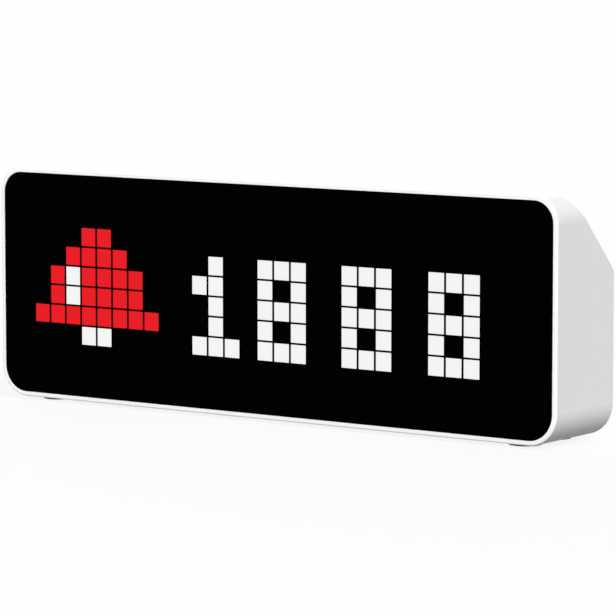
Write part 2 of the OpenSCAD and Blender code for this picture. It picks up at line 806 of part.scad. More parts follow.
module switch_plunger_left() switch_plunger(-1);
module switch_plunger_middle() switch_plunger(0);
module switch_plunger_right() switch_plunger(1);

// Half outline of a key: r from its axis to the outside, from the flange to the soft upper edge
module key_outline(r) {
    translate([0, flange_top]) square([r, key_proud - key_edge_r - flange_top]);
    translate([0, flange_top]) square([r - key_edge_r, key_proud - flange_top]);
    translate([r - key_edge_r, key_proud - key_edge_r]) circle(key_edge_r);
}

// Key with round ends and a soft upper edge, a flange behind the wall and a nib on the switch
module button(k) {
    straight = key_l - key_w;
    color([0.93, 0.93, 0.92]) on_slope(k * key_spacing) {
        for (s = [-1, 1]) translate([s * straight / 2, 0, 0]) rotate_extrude() key_outline(key_w / 2);
        rotate([90, 0, 90]) linear_extrude(straight, center = true) {
            key_outline(key_w / 2);
            mirror([1, 0]) key_outline(key_w / 2);
        }
        translate([0, 0, flange_low]) linear_extrude(flange_t)
            pill(key_l + 2 * flange_edge, key_w + 2 * flange_edge);
        translate([0, 0, plunger_top]) cylinder(r = nib_r, h = nib_l);
    }
}

module button_left() button(-1);
module button_middle() button(0);
module button_right() button(1);

// Round rubber foot with a soft lower edge, set in its pocket
module foot(sx, b) {
    r = foot_d / 2;
    edge = foot_proud / 2;
    color([0.12, 0.12, 0.12]) translate([sx * (body_w / 2 - foot_side), front_y + b, 0]) rotate_extrude() {
        translate([0, edge]) square([r, foot_proud + foot_sunk - edge]);
        square([r - edge, foot_proud]);
        translate([r - edge, edge]) circle(edge);
    }
}

module foot_front_left() foot(-1, foot_front);
module foot_front_right() foot(1, foot_front);
module foot_rear_left() foot(-1, body_d - foot_rear);
module foot_rear_right() foot(1, body_d - foot_rear);

housing();
front_lens();
lens_tape();
diffuser_sheet();
light_grid();
matrix_board();
light_packages();
light_sensor();
grid_screws();
link_header();
link_socket();
main_board();
main_board_screws();
radio_module();
charge_socket();
charge_tongue();
buzzer();
temperature_sensor();
board_chips();
battery_cell_left();
battery_cell_right();
battery_tabs();
battery_leads();
battery_connector();
battery_pads();
key_board();
key_board_screws();
key_ribbon();
ribbon_connector();
switch_bodies();
switch_plunger_left();
switch_plunger_middle();
switch_plunger_right();
button_left();
button_middle();
button_right();
foot_front_left();
foot_front_right();
foot_rear_left();
foot_rear_right();
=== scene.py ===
"""Dresses the pixel clock: a finish for every piece, the lit picture on its display, and the stage."""
import json
import math

import bmesh
import bpy
from bpy.props import FloatProperty, FloatVectorProperty, IntProperty, PointerProperty
from mathutils import Matrix, Vector


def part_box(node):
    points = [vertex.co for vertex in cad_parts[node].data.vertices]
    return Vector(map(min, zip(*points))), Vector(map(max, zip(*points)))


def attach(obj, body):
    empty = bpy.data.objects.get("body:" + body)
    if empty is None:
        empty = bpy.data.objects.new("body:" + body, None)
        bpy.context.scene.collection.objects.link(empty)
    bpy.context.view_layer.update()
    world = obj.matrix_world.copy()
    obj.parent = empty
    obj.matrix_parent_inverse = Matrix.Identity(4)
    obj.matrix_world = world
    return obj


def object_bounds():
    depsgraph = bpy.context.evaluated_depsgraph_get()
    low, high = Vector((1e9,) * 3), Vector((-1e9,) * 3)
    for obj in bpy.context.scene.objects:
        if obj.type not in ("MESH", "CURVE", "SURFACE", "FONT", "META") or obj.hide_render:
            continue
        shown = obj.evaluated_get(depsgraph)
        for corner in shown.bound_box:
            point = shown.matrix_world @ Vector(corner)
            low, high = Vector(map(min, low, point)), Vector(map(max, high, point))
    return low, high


bl_info = {
    "name": "Pixel Clock",
    "version": (1, 0, 0),
    "blender": (4, 5, 0),
    "location": "3D View > Sidebar > Pixel Clock",
    "description": "Finishes, display picture and stage of a pixel clock",
    "category": "Object",
}

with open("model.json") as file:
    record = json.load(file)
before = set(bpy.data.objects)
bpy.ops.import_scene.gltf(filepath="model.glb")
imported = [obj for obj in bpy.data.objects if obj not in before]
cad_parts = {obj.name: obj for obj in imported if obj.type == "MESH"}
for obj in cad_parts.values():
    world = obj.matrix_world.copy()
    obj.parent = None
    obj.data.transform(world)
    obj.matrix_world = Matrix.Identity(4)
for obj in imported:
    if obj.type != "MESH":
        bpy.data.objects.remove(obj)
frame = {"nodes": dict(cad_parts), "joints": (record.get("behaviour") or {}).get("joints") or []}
CAD_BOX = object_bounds()
LENS_LOW, LENS_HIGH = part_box("front_lens")
LENS_MIDDLE = (LENS_LOW + LENS_HIGH) / 2
COLUMNS, ROWS = 31, 8
# A square light package stands behind each cell, so the packages' spread gives the pitch of the cells
PACKAGES_LOW, PACKAGES_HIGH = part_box("light_packages")
SPREAD = PACKAGES_HIGH - PACKAGES_LOW
CELL_PITCH = (SPREAD.x - SPREAD.z) / (COLUMNS - ROWS)
SIDES = ("left", "middle", "right")
# Directions on the back slope: the keys are pressed square to it
SLOPE_NORMAL = -Vector(frame["joints"][0]["axis"])
DOWNHILL = Vector((0, SLOPE_NORMAL.z, -SLOPE_NORMAL.y))
WHITE = (1.0, 1.0, 1.0, 1.0)
# The lens and the cells behind it hardly reflect
LENS_SHINE = 0.004

# The picture on the display: digits of 3 by 5 cells and a small alarm bell, R red and W white
DIGITS = {
    "1": (".W.", "WW.", ".W.", ".W.", "WWW"),
    "8": ("WWW", "W.W", "WWW", "W.W", "WWW"),
}
BELL = (
    "...RR...",
    "..RRRR..",
    ".RWRRRR.",
    ".RWRRRR.",
    "RRRRRRRR",
    "...WW...",
)
# What is shown, with its first column and its first row, counted from the top left cell
PICTURE = (
    (BELL, 1, 1),
    (DIGITS["1"], 11, 2),
    (DIGITS["8"], 15, 2),
    (DIGITS["8"], 20, 2),
    (DIGITS["8"], 25, 2),
)


def count(name, description, default):
    """A number of like things that a user would change."""
    return IntProperty(name=name, description=description, default=default, min=1)


def length(name, description, default):
    """A size in metres that a user would change."""
    return FloatProperty(name=name, description=description, default=default, unit="LENGTH", precision=5)


def angle(name, description, degrees):
    """An angle that a user would change."""
    return FloatProperty(
        name=name, description=description, default=math.radians(degrees), subtype="ANGLE")


def strength(name, description, default):
    """The strength of a light that a user would change."""
    return FloatProperty(name=name, description=description, default=default, min=0.0)


def colour(name, description, default):
    """A linear colour that a user would change."""
    return FloatVectorProperty(
        name=name, description=description, default=default, subtype="COLOR", size=3, min=0.0, max=1.0)


class ClockSizes(bpy.types.PropertyGroup):
    """Sizes of what is added to the clock's own pieces"""

    columns: count("Columns", "Light cells across the display", COLUMNS)
    rows: count("Rows", "Light cells up the display", ROWS)
    cell_pitch: length("Cell pitch", "Distance between the middles of two light cells", CELL_PITCH)
    gap_across: length("Gap across", "Dark line between two lit cells side by side", 0.00074)
    gap_up: length("Gap up", "Dark line between two lit cells, one above the other", 0.00058)
    cell_corner: length("Cell corner", "Rounding of a lit cell's corners", 0.00012)
    cell_rise: length("Cell rise", "How far a lit cell stands on the lens", 0.00004)
    cell_sink: length("Cell sink", "How far a lit cell reaches into the lens", 0.00003)
    mark_radius: length("Mark radius", "Radius of the marks on the keys", 0.0014)
    mark_line: length("Mark line", "Line width of the round mark", 0.00045)
    mark_rise: length("Mark rise", "Thickness of the ink on the keys", 0.00002)
    contact_pitch: length("Contact pitch", "Distance between two contacts in the charge port", 0.0005)
    contact_width: length("Contact width", "Width of a contact in the charge port", 0.00028)
    contact_rise: length("Contact rise", "Thickness of the plating on a contact", 0.00002)


class ClockColours(bpy.types.PropertyGroup):
    """Colours of the clock's finishes"""

    housing: colour("Housing", "Moulded white plastic", (0.86, 0.86, 0.855))
    lens: colour("Lens", "Smoked front lens", (0.0002, 0.0002, 0.00022))
    unlit: colour("Unlit cell", "A cell without its light", (0.0005, 0.0005, 0.0005))
    lit_white: colour("Lit white", "Light of a white cell", (0.905, 0.908, 0.908))
    lit_red: colour("Lit red", "Light of a red cell", (0.82, 0.0135, 0.0195))
    key_ink: colour("Key ink", "Marks printed on the keys", (0.3, 0.3, 0.31))
    rubber: colour("Rubber", "Feet", (0.022, 0.022, 0.023))
    black_plastic: colour("Black plastic", "Light grid, sockets and chips", (0.022, 0.022, 0.024))
    grey_plastic: colour("Grey plastic", "Plungers of the switches", (0.45, 0.45, 0.46))
    cream_plastic: colour("Cream plastic", "Connectors on the boards", (0.72, 0.67, 0.52))
    milk_plastic: colour("Milky plastic", "Diffuser sheet", (0.8, 0.8, 0.77))
    mask_green: colour("Green mask", "Solder mask of the main and key boards", (0.012, 0.11, 0.045))
    mask_black: colour("Black mask", "Solder mask of the matrix board", (0.012, 0.014, 0.014))
    package: colour("Package", "Body of a light package", (0.82, 0.82, 0.775))
    filling: colour("Filling", "Clear filling in a light package's window", (0.6, 0.6, 0.5))
    die: colour("Die", "Dies in a light package", (0.14, 0.13, 0.1))
    steel: colour("Steel", "Screws and the charge port's shell", (0.62, 0.62, 0.63))
    nickel: colour("Nickel", "Battery strips", (0.66, 0.63, 0.57))
    gold: colour("Gold", "Contacts in the charge port", (0.83, 0.6, 0.24))
    wrap: colour("Cell wrap", "Film round the battery cells", (0.03, 0.14, 0.36))
    jacket_black: colour("Black jacket", "Outer battery leads", (0.022, 0.022, 0.023))
    jacket_red: colour("Red jacket", "Middle battery lead", (0.45, 0.016, 0.016))
    foam: colour("Foam", "Pads under the battery cells", (0.06, 0.06, 0.063))
    film: colour("Film", "Film of the ribbon", (0.64, 0.54, 0.38))
    copper: colour("Copper", "Lines in the ribbon", (0.5, 0.3, 0.14))


class ClockStage(bpy.types.PropertyGroup):
    """Camera, floor and light"""

    azimuth: angle("Azimuth", "Camera's turn to the right of the front", 35.63)
    elevation: angle("Elevation", "Camera's height above the horizon", 6.27)
    distance: length("Distance", "From the camera to the point that it aims at", 1.086)
    aim_right: length("Aim right", "Aimed point, to the right of the clock's middle", 0.01545)
    aim_up: length("Aim up", "Aimed point, above the table", 0.03488)
    focal: FloatProperty(
        name="Focal length", description="Camera lens, in millimetres", default=219.3, unit="CAMERA")
    floor_size: length("Floor size", "Side of the square floor", 40.0)
    ambient: strength("Ambient", "Strength of the even light all round", 0.18)
    front_light: strength("Front light", "Strength of the low lamp in front", 2.38)
    side_light: strength("Side light", "Strength of the high lamp at the right", 2.34)
    rear_light: strength("Rear light", "Strength of the lamp behind", 1.85)
    floor_shown: colour("Floor", "Floor as the camera sees it", (1.0, 1.0, 1.0))
    floor_bounce: colour("Floor bounce", "Floor as it lights the clock from below", (0.08, 0.08, 0.08))
    shadow_kept: FloatProperty(
        name="Shadow", description="Share of the clock's shadow that the floor keeps", default=0.13,
        subtype="FACTOR", min=0.0, max=1.0)


class Shade:
    """A socket in a node tree. Arithmetic on it adds Math nodes."""

    def __init__(self, tree, socket=None):
        self.tree = tree
        self.socket = socket

    def node(self, kind, settings=None, sockets=None, out=0):
        """Adds a node, sets it up, feeds its sockets with values or links, and gives one output."""
        node = self.tree.nodes.new(kind)
        for name, value in (settings or {}).items():
            setattr(node, name, value)
        for name, value in (sockets or {}).items():
            if isinstance(value, Shade):
                self.tree.links.new(value.socket, node.inputs[name])
            else:
                node.inputs[name].default_value = value
        return Shade(self.tree, node.outputs[out] if node.outputs else None)

    def math(self, operation, *values):
        """A Math node on this socket and on more values."""
        return self.node("ShaderNodeMath", {"operation": operation}, dict(enumerate((self, *values))))

    def reflected(self, operation, value):
        """A Math node with the plain number first."""
        return self.node("ShaderNodeMath", {"operation": operation}, {0: value, 1: self})

    def __add__(self, other):
        return self.math("ADD", other)

    def __radd__(self, other):
        return self.reflected("ADD", other)

    def __sub__(self, other):
        return self.math("SUBTRACT", other)

    def __rsub__(self, other):
        return self.reflected("SUBTRACT", other)

    def __mul__(self, other):
        return self.math("MULTIPLY", other)

    def __rmul__(self, other):
        return self.reflected("MULTIPLY", other)

    def __truediv__(self, other):
        return self.math("DIVIDE", other)

    def __rtruediv__(self, other):
        return self.reflected("DIVIDE", other)

    def __lt__(self, other):
        return self.math("LESS_THAN", other)

    def __gt__(self, other):
        return self.math("GREATER_THAN", other)


def rgba(rgb):
    """A colour with full alpha."""
    return (*rgb, 1.0)


def tone(rgb, factor):
    """A colour made lighter or darker."""
    return rgba([min(1.0, channel * factor) for channel in rgb])


def new_finish(name):
    """An empty material and a handle on its node tree."""
    material = bpy.data.materials.new(name)
    material.use_nodes = True
    material.node_tree.nodes.clear()
    return material, Shade(material.node_tree)


def close_finish(start, sockets):
    """Ends a material in one main shader with those sockets."""
    shader = start.node("ShaderNodeBsdfPrincipled", sockets=sockets)
    start.node("ShaderNodeOutputMaterial", sockets={"Surface": shader})


def place_on(start):
    """Object coordinates."""
    return start.node("ShaderNodeTexCoord", out="Object")


def axes_of(start, place):
    """The x, y and z of a place."""
    split = start.node("ShaderNodeSeparateXYZ", sockets={0: place})
    return tuple(Shade(start.tree, socket) for socket in split.socket.node.outputs)


def cell_axes(start, place, sizes):
    """The place within a light cell, across and up from the cell's middle, in cell pitches."""
    x, _, z = axes_of(start, place)
    across = ((x - LENS_MIDDLE.x) / sizes.cell_pitch + sizes.columns / 2).math("FRACT") - 0.5
    up = ((z - LENS_MIDDLE.z) / sizes.cell_pitch + sizes.rows / 2).math("FRACT") - 0.5
    return across, up


def stretched(start, place, scale):
    """A place drawn out along some of its axes."""
    return start.node("ShaderNodeMapping", sockets={"Vector": place, "Scale": scale})


def noise(start, place, size, detail=2.0, rough=0.5):
    """Smooth noise from 0 to 1, with spots of about that size in metres."""
    sockets = {"Vector": place, "Scale": 1 / size, "Detail": detail, "Roughness": rough}
    return start.node("ShaderNodeTexNoise", sockets=sockets)


def blend_colours(start, factor, first, second):
    """A colour between two colours."""
    return start.node("ShaderNodeMix", {"data_type": "RGBA"}, {0: factor, 6: first, 7: second}, out=2)


def varied(start, rgb, factor, darkest, lightest):
    """A colour that goes from its darkest to its lightest tone, as the factor goes from 0 to 1."""
    return blend_colours(start, factor, tone(rgb, darkest), tone(rgb, lightest))


def relief(start, height, depth):
    """A bump of that depth in metres."""
    return start.node("ShaderNodeBump", sockets={"Strength": 1.0, "Distance": depth, "Height": height})


def seen_directly(start):
    """1 for what the camera sees, by itself, in a reflection or through glass."""
    path = start.node("ShaderNodeLightPath").socket.node.outputs
    rays = ("Is Camera Ray", "Is Glossy Ray", "Is Transmission Ray")
    camera, glossy, through = (Shade(start.tree, path[name]) for name in rays)
    return camera.math("MAXIMUM", glossy).math("MAXIMUM", through)


def moulded(name, rgb, grain=0.00025, depth=0.000006, rough=0.45, shine=0.5):
    """Moulded plastic: an even colour with faint flow marks, and the grain of a spark-eroded mould."""
    material, start = new_finish(name)
    place = place_on(start)
    flow = noise(start, place, size=0.02)
    fine = noise(start, place, size=grain, detail=3.0, rough=0.6)
    close_finish(start, {
        "Base Color": varied(start, rgb, flow * 0.7 + fine * 0.3, darkest=0.985, lightest=1.015),
        "Roughness": rough - 0.05 + fine * 0.07 + flow * 0.03,
        "Specular IOR Level": shine,
        "Normal": relief(start, fine, depth),
    })
    return material


def smoked_lens(name, rgb, sizes):
    """Smoked acrylic with a dulled front: nearly black, with the cells only just to be made out."""
    material, start = new_finish(name)
    place = place_on(start)
    across, up = cell_axes(start, place, sizes)
    in_column = across.math("ABSOLUTE") < (1 - sizes.gap_across / sizes.cell_pitch) / 2
    in_row = up.math("ABSOLUTE") < (1 - sizes.gap_up / sizes.cell_pitch) / 2
    cell = in_column * in_row
    haze = noise(start, place, size=0.03)
    close_finish(start, {
        "Base Color": varied(start, rgb, cell * 0.6 + haze * 0.4, darkest=0.7, lightest=1.3),
        "Roughness": 0.26 + haze * 0.06,
        "Specular IOR Level": LENS_SHINE,
    })
    return material


def lit_cell(name, rgb, unlit, sizes):
    """Light of the cells through lens and diffuser: even, and a little weaker at a cell's edges."""
    material, start = new_finish(name)
    place = place_on(start)
    across, up = cell_axes(start, place, sizes)
    away = across * across + up * up
    grain = noise(start, place, size=0.0006)
    glow = 1 - away * 0.9 - grain * 0.15
    close_finish(start, {
        "Base Color": rgba(unlit),
        "Roughness": 0.3 + grain * 0.04,
        "Specular IOR Level": LENS_SHINE,
        "Emission Color": varied(start, rgb, glow, darkest=0.92, lightest=1.01),
        "Emission Strength": 1.0,
    })
    return material


def rubber(name, rgb):
    """Matte rubber with a fine open grain and traces of dust."""
    material, start = new_finish(name)
    place = place_on(start)
    fine = noise(start, place, size=0.0003, detail=4.0, rough=0.7)
    dust = noise(start, place, size=0.004)
    close_finish(start, {
        "Base Color": varied(start, rgb, dust * 0.5 + fine * 0.3, darkest=0.8, lightest=1.7),
        "Roughness": 0.72 + fine * 0.15,
        "Specular IOR Level": 0.25,
        "Normal": relief(start, fine, depth=0.00001),
    })
    return material


def drawn_metal(name, rgb, along, rough=0.28):
    """Drawn or rolled metal with fine lines along one axis, 0 for x, 1 for y and 2 for z."""
    material, start = new_finish(name)
    place = place_on(start)
    scale = [1.0, 1.0, 1.0]
    scale[along] = 0.03
    lines = noise(start, stretched(start, place, scale), size=0.00008, detail=3.0, rough=0.6)
    stain = noise(start, place, size=0.003)
    close_finish(start, {
        "Base Color": varied(start, rgb, stain * 0.6 + lines * 0.4, darkest=0.88, lightest=1.08),
        "Metallic": 1.0,
        "Roughness": rough - 0.06 + lines * 0.12 + stain * 0.05,
        "Normal": relief(start, lines, depth=0.000002),
    })
    return material


def circuit_board(name, rgb):
    """Solder mask over copper: tracks show as lighter lines under the mask, over a fine weave."""
    material, start = new_finish(name)
    place = place_on(start)
    row_pitch, column_pitch, track_share = 0.0011, 0.0013, 0.35
    x, _, z = axes_of(start, place)
    rows_of_tracks = (z / row_pitch).math("FRACT") < track_share
    columns_of_tracks = (x / column_pitch).math("FRACT") < track_share
    region = noise(start, place, size=0.009)
    lying = region > 0.56
    standing = region < 0.42
    tracks = (rows_of_tracks * lying).math("MAXIMUM", columns_of_tracks * standing)
    weave = noise(start, place, size=0.0004)
    close_finish(start, {
        "Base Color": varied(start, rgb, tracks * 0.7 + weave * 0.3, darkest=0.85, lightest=1.9),
        "Roughness": 0.3 + weave * 0.1,
        "Normal": relief(start, tracks + weave * 0.2, depth=0.00002),
    })
    return material


def light_package(name, colours, sizes):
    """White light package with a round window of clear filling over its dies."""
    material, start = new_finish(name)
    place = place_on(start)
    window_radius, die_radius = 0.0014, 0.0004
    across, up = cell_axes(start, place, sizes)
    away = (across * across + up * up).math("SQRT") * sizes.cell_pitch
    window = away < window_radius
    dies = away < die_radius
    grain = noise(start, place, size=0.0005)
    body = varied(start, colours.package, grain, darkest=0.95, lightest=1.05)
    filled = blend_colours(start, window, body, rgba(colours.filling))
    close_finish(start, {
        "Base Color": blend_colours(start, dies, filled, rgba(colours.die)),
        "Roughness": 0.45 - window * 0.3 + grain * 0.05,
    })
    return material


def shrink_film(name, rgb):
    """Shrink film round a battery cell: a glossy skin with faint creases."""
    material, start = new_finish(name)
    place = place_on(start)
    crease = noise(start, stretched(start, place, (0.2, 1.0, 1.0)), size=0.002)
    cloud = noise(start, place, size=0.015)
    close_finish(start, {
        "Base Color": varied(start, rgb, cloud * 0.6 + crease * 0.4, darkest=0.85, lightest=1.2),
        "Roughness": 0.3 + crease * 0.1,
        "Normal": relief(start, crease, depth=0.00004),
    })
    return material


def lead_jackets(name, outer, inner):
    """Soft insulation: one colour on the middle lead, another on the two outer ones."""
    material, start = new_finish(name)
    place = place_on(start)
    half_pitch = 0.001
    x, _, _ = axes_of(start, place)
    middle_lead = x.math("ABSOLUTE") < half_pitch
    grain = noise(start, place, size=0.0004)
    outer_tone = varied(start, outer, grain, darkest=0.68, lightest=1.36)
    inner_tone = varied(start, inner, grain, darkest=0.89, lightest=1.11)
    close_finish(start, {
        "Base Color": blend_colours(start, middle_lead, outer_tone, inner_tone),
        "Roughness": 0.5 + grain * 0.1,
    })
    return material


def open_foam(name, rgb):
    """Open foam, with painted shade darkening its pores."""
    material, start = new_finish(name)
    place = place_on(start)
    pore_size = 0.0005
    pores_and_shade = start.node("ShaderNodeTexVoronoi", sockets={"Vector": place, "Scale": 1 / pore_size})
    close_finish(start, {
        # Painted shade: the pore pattern darkens the foam's colour in its pores
        "Base Color": varied(start, rgb, 1 - pores_and_shade, darkest=0.5, lightest=1.5),
        "Roughness": 0.9 - pores_and_shade * 0.1,
        "Normal": relief(start, pores_and_shade, depth=0.0001),
    })
    return material


def ribbon(name, film, copper):
    """Flat film cable: parallel copper lines in a film."""
    material, start = new_finish(name)
    place = place_on(start)
    line_pitch = 0.001
    x, _, _ = axes_of(start, place)
    lines = (x / line_pitch).math("FRACT") < 0.5
    cloud = noise(start, place, size=0.002)
    film_tone = varied(start, film, cloud, darkest=0.93, lightest=1.07)
    close_finish(start, {
        "Base Color": blend_colours(start, lines, film_tone, rgba(copper)),
        "Roughness": 0.35 + cloud * 0.1,
    })
    return material


def dress(material, *nodes):
    """Gives a material to the clock's own pieces."""
    for name in nodes:
        materials = frame["nodes"][name].data.materials
        materials.clear()
        materials.append(material)


def add_piece(name, bm, material, body):
    """Makes a mesh object of a finished bmesh, which rides on a body."""
    bmesh.ops.recalc_face_normals(bm, faces=bm.faces)
    mesh = bpy.data.meshes.new(name)
    bm.to_mesh(mesh)
    bm.free()
    mesh.materials.append(material)
    piece = bpy.data.objects.new(name, mesh)
    bpy.context.scene.collection.objects.link(piece)
    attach(piece, body)


def runs_along(edge, axis):
    """Whether an edge runs along that axis, 0 for x, 1 for y and 2 for z."""
    first, second = (vert.co for vert in edge.verts)
    return math.isclose(abs((second - first).normalized()[axis]), 1.0, abs_tol=0.01)


def add_tile(bm, middle, size, corner, along):
    """A thin tile of that size, with its edges along one axis rounded."""
    place = Matrix.Translation(middle) @ Matrix.Diagonal((*size, 1.0))
    verts = bmesh.ops.create_cube(bm, size=1.0, matrix=place)["verts"]
    edges = dict.fromkeys(edge for vert in verts for edge in vert.link_edges)
    uprights = [edge for edge in edges if runs_along(edge, along)]
    bmesh.ops.bevel(
        bm, geom=uprights, offset=corner, affect="EDGES", segments=2, profile=0.5, material=-1)


def lit_cells(letter):
    """Columns and rows of the cells of the picture that are lit in that colour."""
    return [(first_column + i, first_row + j)
            for glyph, first_column, first_row in PICTURE
            for j, line in enumerate(glyph)
            for i, cell in enumerate(line) if cell == letter]


def reach(node, direction):
    """Least and greatest distance of a node's surface along a direction."""
    ways = [vert.co.dot(direction) for vert in frame["nodes"][node].data.vertices]
    return min(ways), max(ways)


class CLOCK_OT_housing(bpy.types.Operator):
    """Gives the housing its fine-grained white finish"""

    bl_idname = "pixel_clock.housing"
    bl_label = "Housing"

    def execute(self, context):
        dress(moulded("housing_white", context.scene.clock_colours.housing), "housing")
        return {"FINISHED"}


class CLOCK_OT_front_lens(bpy.types.Operator):
    """Gives the front lens its smoked finish"""

    bl_idname = "pixel_clock.front_lens"
    bl_label = "Front lens"

    def execute(self, context):
        scene = context.scene
        dress(smoked_lens("lens_black", scene.clock_colours.lens, scene.clock_sizes), "front_lens")
        return {"FINISHED"}


class CLOCK_OT_lit_cells(bpy.types.Operator):
    """Lights the cells of the picture on the display"""

    bl_idname = "pixel_clock.lit_cells"
    bl_label = "Lit cells"

    def execute(self, context):
        sizes = context.scene.clock_sizes
        colours = context.scene.clock_colours
        white = lit_cell("lit_white", colours.lit_white, colours.unlit, sizes)
        red = lit_cell("lit_red", colours.lit_red, colours.unlit, sizes)
        self.add_cells("lit_cells_white", "W", white, "lit_white", sizes)
        self.add_cells("lit_cells_red", "R", red, "lit_red", sizes)
        return {"FINISHED"}

    def add_cells(self, name, letter, material, slot, sizes):
        """Adds one tile for each cell of that colour, on the front of the lens."""
        bm = bmesh.new()
        depth = LENS_LOW.y + (sizes.cell_sink - sizes.cell_rise) / 2
        size = (
            sizes.cell_pitch - sizes.gap_across,
            sizes.cell_sink + sizes.cell_rise,
            sizes.cell_pitch - sizes.gap_up,
        )
        for column, row in lit_cells(letter):
            if column >= sizes.columns or row >= sizes.rows:
                raise ValueError(f"the picture's cell {column}, {row} lies outside the display")
            across = (column - (sizes.columns - 1) / 2) * sizes.cell_pitch
            up = ((sizes.rows - 1) / 2 - row) * sizes.cell_pitch
            middle = (LENS_MIDDLE.x + across, depth, LENS_MIDDLE.z + up)
            add_tile(bm, middle, size, sizes.cell_corner, along=1)
        add_piece(name, bm, material, "clock")


class CLOCK_OT_keys(bpy.types.Operator):
    """Gives the three keys their finish, and a printed mark on each"""

    bl_idname = "pixel_clock.keys"
    bl_label = "Keys"

    RING_SEGMENTS = 40
    # How far the mark of an outer key is turned from pointing to the right
    TURNS = {"left": math.pi, "right": 0.0}

    def execute(self, context):
        sizes = context.scene.clock_sizes
        colours = context.scene.clock_colours
        white = moulded("key_white", colours.housing, grain=0.0002, rough=0.38)
        dress(white, *(f"button_{side}" for side in SIDES))
        ink = moulded("key_ink", colours.key_ink, grain=0.00015, depth=0.000002, rough=0.6)
        for side in SIDES:
            bm = bmesh.new()
            if side in self.TURNS:
                self.draw_triangle(bm, sizes, self.TURNS[side])
            else:
                self.draw_ring(bm, sizes)
            self.thicken(bm, sizes)
            bmesh.ops.transform(bm, verts=bm.verts, matrix=self.top_of(f"button_{side}", sizes))
            add_piece(f"key_mark_{side}", bm, ink, f"{side}_key")
        return {"FINISHED"}

    def draw_ring(self, bm, sizes):
        """A flat ring."""
        bmesh.ops.create_circle(
            bm, cap_ends=True, segments=self.RING_SEGMENTS, radius=sizes.mark_radius)
        bmesh.ops.inset_region(bm, faces=bm.faces[:], use_boundary=True, thickness=sizes.mark_line)
        disc = [face for face in bm.faces if len(face.verts) == self.RING_SEGMENTS]
        bmesh.ops.delete(bm, geom=disc, context="FACES_ONLY")

    def draw_triangle(self, bm, sizes, turn):
        """A flat triangle with soft corners."""
        bmesh.ops.create_circle(bm, cap_ends=True, segments=3, radius=sizes.mark_radius)
        bmesh.ops.rotate(bm, verts=bm.verts, matrix=Matrix.Rotation(turn - math.pi / 2, 3, "Z"))
        bmesh.ops.bevel(
            bm, geom=bm.verts[:], offset=sizes.mark_line / 2, affect="VERTICES", segments=3,
            profile=0.5, material=-1)

    def thicken(self, bm, sizes):
        """Gives a flat mark its thickness: the ink, and as much again inside the key."""
        raised = bmesh.ops.extrude_face_region(bm, geom=bm.faces[:])["geom"]
        upper = [part for part in raised if isinstance(part, bmesh.types.BMVert)]
        bmesh.ops.translate(bm, verts=upper, vec=(0, 0, 2 * sizes.mark_rise))

    def top_of(self, button, sizes):
        """Where a mark goes: at the middle of the key's top, along the slope."""
        low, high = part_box(button)
        centre = (Vector(((low.x + high.x) / 2, 0, 0))
                  + DOWNHILL * (sum(reach(button, DOWNHILL)) / 2)
                  + SLOPE_NORMAL * (reach(button, SLOPE_NORMAL)[1] - sizes.mark_rise))
        turned = Matrix((Vector((1, 0, 0)), -DOWNHILL, SLOPE_NORMAL)).transposed().to_4x4()
        return Matrix.Translation(centre) @ turned


class CLOCK_OT_feet(bpy.types.Operator):
    """Gives the four feet their rubber"""

    bl_idname = "pixel_clock.feet"
    bl_label = "Feet"

    def execute(self, context):
        dress(rubber("foot_rubber", context.scene.clock_colours.rubber),
              "foot_front_left", "foot_front_right", "foot_rear_left", "foot_rear_right")
        return {"FINISHED"}


class CLOCK_OT_charge_port(bpy.types.Operator):
    """Finishes the charge port's shell and tongue, and plates the contacts on the tongue"""

    bl_idname = "pixel_clock.charge_port"
    bl_label = "Charge port"

    CONTACTS = 12
    # A contact's length, as a share of the tongue's
    CONTACT_SHARE = 0.8

    def execute(self, context):
        sizes = context.scene.clock_sizes
        colours = context.scene.clock_colours
        dress(drawn_metal("shell_steel", colours.steel, along=1), "charge_socket")
        dress(moulded("tongue_black", colours.black_plastic, rough=0.5), "charge_tongue")
        bm = bmesh.new()
        low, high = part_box("charge_tongue")
        middle = (low + high) / 2
        size = (sizes.contact_width, (high.y - low.y) * self.CONTACT_SHARE, 2 * sizes.contact_rise)
        for face in (low.z, high.z):
            for i in range(self.CONTACTS):
                across = (i - (self.CONTACTS - 1) / 2) * sizes.contact_pitch
                add_tile(bm, (middle.x + across, middle.y, face), size, sizes.contact_width / 4, along=2)
        gold = drawn_metal("contact_gold", colours.gold, along=1, rough=0.25)
        add_piece("port_contacts", bm, gold, "clock")
        return {"FINISHED"}


class CLOCK_OT_light_stack(bpy.types.Operator):
    """Finishes what lies between the lens and the matrix board"""

    bl_idname = "pixel_clock.light_stack"
    bl_label = "Light stack"

    def execute(self, context):
        sizes = context.scene.clock_sizes
        colours = context.scene.clock_colours
        black = colours.black_plastic
        dress(moulded("tape_black", black, grain=0.0004, rough=0.8, shine=0.2), "lens_tape")
        dress(moulded("diffuser_milk", colours.milk_plastic, grain=0.0003, rough=0.6), "diffuser_sheet")
        dress(moulded("grid_black", black, rough=0.6, shine=0.3), "light_grid")
        dress(light_package("package_white", colours, sizes), "light_packages")
        return {"FINISHED"}


